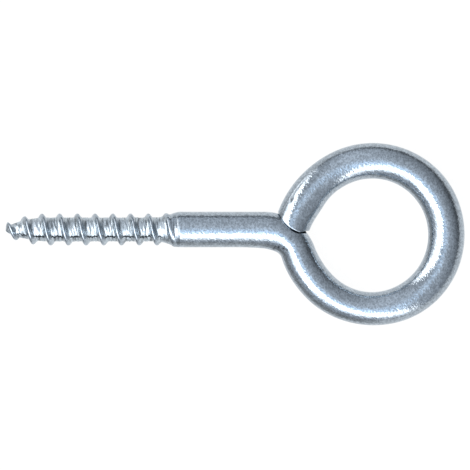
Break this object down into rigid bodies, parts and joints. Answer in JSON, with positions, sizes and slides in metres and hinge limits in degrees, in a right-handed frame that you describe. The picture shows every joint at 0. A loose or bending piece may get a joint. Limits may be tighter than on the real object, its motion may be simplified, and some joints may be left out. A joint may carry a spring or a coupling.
{
  "type": "screw eye",
  "caption": "Zinc-plated steel screw eye: a round wire bent into a closed ring eye, with a plain shank and a wood screw thread ending in a gimlet point.",
  "frame": {"origin": "on the screw's axis, where the thread ends and the plain shank begins", "axes": "+X along the shank towards the eye, +Z normal to the plane of the eye, +Y to the side where the eye's end meets the neck"},
  "size_m": [0.1, 0.0401, 0.0078],
  "materials": {
    "zinc_plated_wire": "bright bluish zinc plating on drawn steel wire, fine pebbled grain",
    "zinc_plated_thread": "bright bluish zinc plating on a rolled thread, rough in the root"
  },
  "bodies": {
    "root": {"gimlet_point": "zinc_plated_thread", "threaded_shank": "zinc_plated_thread", "plain_shank": "zinc_plated_wire", "neck_bend": "zinc_plated_wire", "eye_lead_in": "zinc_plated_wire", "eye_ring": "zinc_plated_wire", "eye_tail": "zinc_plated_wire"}
  },
  "joints": []
}
